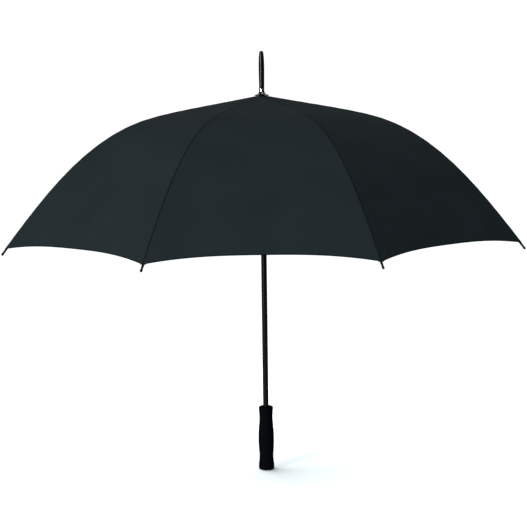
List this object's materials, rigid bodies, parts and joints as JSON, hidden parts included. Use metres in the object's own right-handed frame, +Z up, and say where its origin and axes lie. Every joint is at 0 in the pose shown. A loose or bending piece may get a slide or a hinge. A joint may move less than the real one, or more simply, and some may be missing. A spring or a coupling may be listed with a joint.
{
  "type": "golf umbrella",
  "caption": "Open straight golf umbrella with a black ribbed canopy, a sliding runner with stretchers, two spring latches, a plated collar, a long tip and a foam grip.",
  "frame": {"origin": "centre of the grip's flat bottom end, on the shaft's axis", "axes": "+Z up the shaft towards the tip, -Y towards the middle of the front panel, +X to the right seen from the front"},
  "size_m": [1.2014, 1.2014, 1.038],
  "materials": {
    "canopy_cloth": "matt water-repellent pongee weave, charcoal with a faint cool tint",
    "foam": "matt closed-cell foam",
    "gloss_plastic": "glossy moulded black",
    "matte_plastic": "satin moulded black",
    "chrome_plate": "mirror plated",
    "black_enamel": "glossy black enamel on drawn steel tube",
    "rib_enamel": "semi-gloss black electro-coat on pressed steel",
    "fibreglass": "pultruded black fibreglass with a fine lengthwise grain",
    "spring_steel": "bright spring steel"
  },
  "bodies": {
    "root": {"shaft_tube": "black_enamel", "foam_grip": "foam", "grip_end_plug": "matte_plastic", "canopy_cap": "matte_plastic", "ferrule_collar": "chrome_plate", "ferrule_spike": "gloss_plastic", "top_notch": "matte_plastic", "notch_hinge_wire": "spring_steel"},
    "rib_1": {"rib_inner_1": "rib_enamel", "canopy_inner_1": "canopy_cloth"},
    "outer_1": {"rib_outer_1": "fibreglass", "rib_tip_1": "gloss_plastic", "canopy_outer_1": "canopy_cloth"},
    "strut_1": {"stretcher_1": "rib_enamel"},
    "rib_2": {"rib_inner_2": "rib_enamel", "canopy_inner_2": "canopy_cloth"},
    "outer_2": {"rib_outer_2": "fibreglass", "rib_tip_2": "gloss_plastic", "canopy_outer_2": "canopy_cloth"},
    "strut_2": {"stretcher_2": "rib_enamel"},
    "rib_3": {"rib_inner_3": "rib_enamel", "canopy_inner_3": "canopy_cloth"},
    "outer_3": {"rib_outer_3": "fibreglass", "rib_tip_3": "gloss_plastic", "canopy_outer_3": "canopy_cloth"},
    "strut_3": {"stretcher_3": "rib_enamel"},
    "rib_4": {"rib_inner_4": "rib_enamel", "canopy_inner_4": "canopy_cloth"},
    "outer_4": {"rib_outer_4": "fibreglass", "rib_tip_4": "gloss_plastic", "canopy_outer_4": "canopy_cloth"},
    "strut_4": {"stretcher_4": "rib_enamel"},
    "rib_5": {"rib_inner_5": "rib_enamel", "canopy_inner_5": "canopy_cloth"},
    "outer_5": {"rib_outer_5": "fibreglass", "rib_tip_5": "gloss_plastic", "canopy_outer_5": "canopy_cloth"},
    "strut_5": {"stretcher_5": "rib_enamel"},
    "rib_6": {"rib_inner_6": "rib_enamel", "canopy_inner_6": "canopy_cloth"},
    "outer_6": {"rib_outer_6": "fibreglass", "rib_tip_6": "gloss_plastic", "canopy_outer_6": "canopy_cloth"},
    "strut_6": {"stretcher_6": "rib_enamel"},
    "rib_7": {"rib_inner_7": "rib_enamel", "canopy_inner_7": "canopy_cloth"},
    "outer_7": {"rib_outer_7": "fibreglass", "rib_tip_7": "gloss_plastic", "canopy_outer_7": "canopy_cloth"},
    "strut_7": {"stretcher_7": "rib_enamel"},
    "rib_8": {"rib_inner_8": "rib_enamel", "canopy_inner_8": "canopy_cloth"},
    "outer_8": {"rib_outer_8": "fibreglass", "rib_tip_8": "gloss_plastic", "canopy_outer_8": "canopy_cloth"},
    "strut_8": {"stretcher_8": "rib_enamel"},
    "slider": {"runner": "matte_plastic", "runner_hinge_wire": "spring_steel"},
    "upper_catch": {"top_latch": "spring_steel"},
    "lower_catch": {"bottom_latch": "spring_steel"}
  },
  "joints": [
    {"name": "rib_fold_1", "type": "hinge", "parent": "root", "child": "rib_1", "pos_m": [0.01109, 0.00459, 0.9253], "axis": [-0.3827, 0.9239, 0], "range_deg": [0, 75.2], "deforming": ["canopy_inner_1"]},
    {"name": "rib_fold_2", "type": "hinge", "parent": "root", "child": "rib_2", "pos_m": [0.00459, 0.01109, 0.9253], "axis": [-0.9239, 0.3827, 0], "range_deg": [0, 75.2], "deforming": ["canopy_inner_2"]},
    {"name": "rib_fold_3", "type": "hinge", "parent": "root", "child": "rib_3", "pos_m": [-0.00459, 0.01109, 0.9253], "axis": [-0.9239, -0.3827, 0], "range_deg": [0, 75.2], "deforming": ["canopy_inner_3"]},
    {"name": "rib_fold_4", "type": "hinge", "parent": "root", "child": "rib_4", "pos_m": [-0.01109, 0.00459, 0.9253], "axis": [-0.3827, -0.9239, 0], "range_deg": [0, 75.2], "deforming": ["canopy_inner_4"]},
    {"name": "rib_fold_5", "type": "hinge", "parent": "root", "child": "rib_5", "pos_m": [-0.01109, -0.00459, 0.9253], "axis": [0.3827, -0.9239, 0], "range_deg": [0, 75.2], "deforming": ["canopy_inner_5"]},
    {"name": "rib_fold_6", "type": "hinge", "parent": "root", "child": "rib_6", "pos_m": [-0.00459, -0.01109, 0.9253], "axis": [0.9239, -0.3827, 0], "range_deg": [0, 75.2], "deforming": ["canopy_inner_6"]},
    {"name": "rib_fold_7", "type": "hinge", "parent": "root", "child": "rib_7", "pos_m": [0.00459, -0.01109, 0.9253], "axis": [0.9239, 0.3827, 0], "range_deg": [0, 75.2], "deforming": ["canopy_inner_7"]},
    {"name": "rib_fold_8", "type": "hinge", "parent": "root", "child": "rib_8", "pos_m": [0.01109, -0.00459, 0.9253], "axis": [0.3827, 0.9239, 0], "range_deg": [0, 75.2], "deforming": ["canopy_inner_8"]},
    {"name": "stretcher_hinge_1", "type": "hinge", "parent": "rib_1", "child": "strut_1", "pos_m": [0.31579, 0.13081, 0.85057], "axis": [-0.3827, 0.9239, 0], "range_deg": [-150.4, 0]},
    {"name": "stretcher_hinge_2", "type": "hinge", "parent": "rib_2", "child": "strut_2", "pos_m": [0.13081, 0.31579, 0.85057], "axis": [-0.9239, 0.3827, 0], "range_deg": [-150.4, 0]},
    {"name": "stretcher_hinge_3", "type": "hinge", "parent": "rib_3", "child": "strut_3", "pos_m": [-0.13081, 0.31579, 0.85057], "axis": [-0.9239, -0.3827, 0], "range_deg": [-150.4, 0]},
    {"name": "stretcher_hinge_4", "type": "hinge", "parent": "rib_4", "child": "strut_4", "pos_m": [-0.31579, 0.13081, 0.85057], "axis": [-0.3827, -0.9239, 0], "range_deg": [-150.4, 0]},
    {"name": "stretcher_hinge_5", "type": "hinge", "parent": "rib_5", "child": "strut_5", "pos_m": [-0.31579, -0.13081, 0.85057], "axis": [0.3827, -0.9239, 0], "range_deg": [-150.4, 0]},
    {"name": "stretcher_hinge_6", "type": "hinge", "parent": "rib_6", "child": "strut_6", "pos_m": [-0.13081, -0.31579, 0.85057], "axis": [0.9239, -0.3827, 0], "range_deg": [-150.4, 0]},
    {"name": "stretcher_hinge_7", "type": "hinge", "parent": "rib_7", "child": "strut_7", "pos_m": [0.13081, -0.31579, 0.85057], "axis": [0.9239, 0.3827, 0], "range_deg": [-150.4, 0]},
    {"name": "stretcher_hinge_8", "type": "hinge", "parent": "rib_8", "child": "strut_8", "pos_m": [0.31579, -0.13081, 0.85057], "axis": [0.3827, 0.9239, 0], "range_deg": [-150.4, 0]},
    {"name": "rib_flex_1", "type": "hinge", "parent": "rib_1", "child": "outer_1", "pos_m": [0.32614, 0.13509, 0.85115], "axis": [-0.3827, 0.9239, 0], "range_deg": [-27.5, 0], "deforming": ["canopy_outer_1"]},
    {"name": "rib_flex_2", "type": "hinge", "parent": "rib_2", "child": "outer_2", "pos_m": [0.13509, 0.32614, 0.85115], "axis": [-0.9239, 0.3827, 0], "range_deg": [-27.5, 0], "deforming": ["canopy_outer_2"]},
    {"name": "rib_flex_3", "type": "hinge", "parent": "rib_3", "child": "outer_3", "pos_m": [-0.13509, 0.32614, 0.85115], "axis": [-0.9239, -0.3827, 0], "range_deg": [-27.5, 0], "deforming": ["canopy_outer_3"]},
    {"name": "rib_flex_4", "type": "hinge", "parent": "rib_4", "child": "outer_4", "pos_m": [-0.32614, 0.13509, 0.85115], "axis": [-0.3827, -0.9239, 0], "range_deg": [-27.5, 0], "deforming": ["canopy_outer_4"]},
    {"name": "rib_flex_5", "type": "hinge", "parent": "rib_5", "child": "outer_5", "pos_m": [-0.32614, -0.13509, 0.85115], "axis": [0.3827, -0.9239, 0], "range_deg": [-27.5, 0], "deforming": ["canopy_outer_5"]},
    {"name": "rib_flex_6", "type": "hinge", "parent": "rib_6", "child": "outer_6", "pos_m": [-0.13509, -0.32614, 0.85115], "axis": [0.9239, -0.3827, 0], "range_deg": [-27.5, 0], "deforming": ["canopy_outer_6"]},
    {"name": "rib_flex_7", "type": "hinge", "parent": "rib_7", "child": "outer_7", "pos_m": [0.13509, -0.32614, 0.85115], "axis": [0.9239, 0.3827, 0], "range_deg": [-27.5, 0], "deforming": ["canopy_outer_7"]},
    {"name": "rib_flex_8", "type": "hinge", "parent": "rib_8", "child": "outer_8", "pos_m": [0.32614, -0.13509, 0.85115], "axis": [0.3827, 0.9239, 0], "range_deg": [-27.5, 0], "deforming": ["canopy_outer_8"]},
    {"name": "runner_hinge", "type": "hinge", "parent": "strut_1", "child": "slider", "pos_m": [0.01109, 0.00459, 0.77583], "axis": [-0.3827, 0.9239, 0], "range_deg": [0, 75.2]},
    {"name": "top_latch_press", "type": "slide", "parent": "root", "child": "upper_catch", "axis": [0, -1, 0], "range_m": [0, 0.0042], "stiffness_N_per_m": 500, "springref_m": -0.001},
    {"name": "bottom_latch_press", "type": "slide", "parent": "root", "child": "lower_catch", "axis": [0, -1, 0], "range_m": [0, 0.0042], "stiffness_N_per_m": 500, "springref_m": -0.001}
  ],
  "couplings": [
    {"joint": "stretcher_hinge_1", "follows": "rib_fold_1", "ratio": -2},
    {"joint": "stretcher_hinge_2", "follows": "rib_fold_1", "ratio": -2},
    {"joint": "stretcher_hinge_3", "follows": "rib_fold_1", "ratio": -2},
    {"joint": "stretcher_hinge_4", "follows": "rib_fold_1", "ratio": -2},
    {"joint": "stretcher_hinge_5", "follows": "rib_fold_1", "ratio": -2},
    {"joint": "stretcher_hinge_6", "follows": "rib_fold_1", "ratio": -2},
    {"joint": "stretcher_hinge_7", "follows": "rib_fold_1", "ratio": -2},
    {"joint": "stretcher_hinge_8", "follows": "rib_fold_1", "ratio": -2},
    {"joint": "rib_flex_1", "follows": "rib_fold_1", "ratio": -0.3657},
    {"joint": "rib_flex_2", "follows": "rib_fold_1", "ratio": -0.3657},
    {"joint": "rib_flex_3", "follows": "rib_fold_1", "ratio": -0.3657},
    {"joint": "rib_flex_4", "follows": "rib_fold_1", "ratio": -0.3657},
    {"joint": "rib_flex_5", "follows": "rib_fold_1", "ratio": -0.3657},
    {"joint": "rib_flex_6", "follows": "rib_fold_1", "ratio": -0.3657},
    {"joint": "rib_flex_7", "follows": "rib_fold_1", "ratio": -0.3657},
    {"joint": "rib_flex_8", "follows": "rib_fold_1", "ratio": -0.3657},
    {"joint": "runner_hinge", "follows": "rib_fold_1", "ratio": 1},
    {"joint": "rib_fold_2", "follows": "rib_fold_1", "ratio": 1},
    {"joint": "rib_fold_3", "follows": "rib_fold_1", "ratio": 1},
    {"joint": "rib_fold_4", "follows": "rib_fold_1", "ratio": 1},
    {"joint": "rib_fold_5", "follows": "rib_fold_1", "ratio": 1},
    {"joint": "rib_fold_6", "follows": "rib_fold_1", "ratio": 1},
    {"joint": "rib_fold_7", "follows": "rib_fold_1", "ratio": 1},
    {"joint": "rib_fold_8", "follows": "rib_fold_1", "ratio": 1}
  ]
}
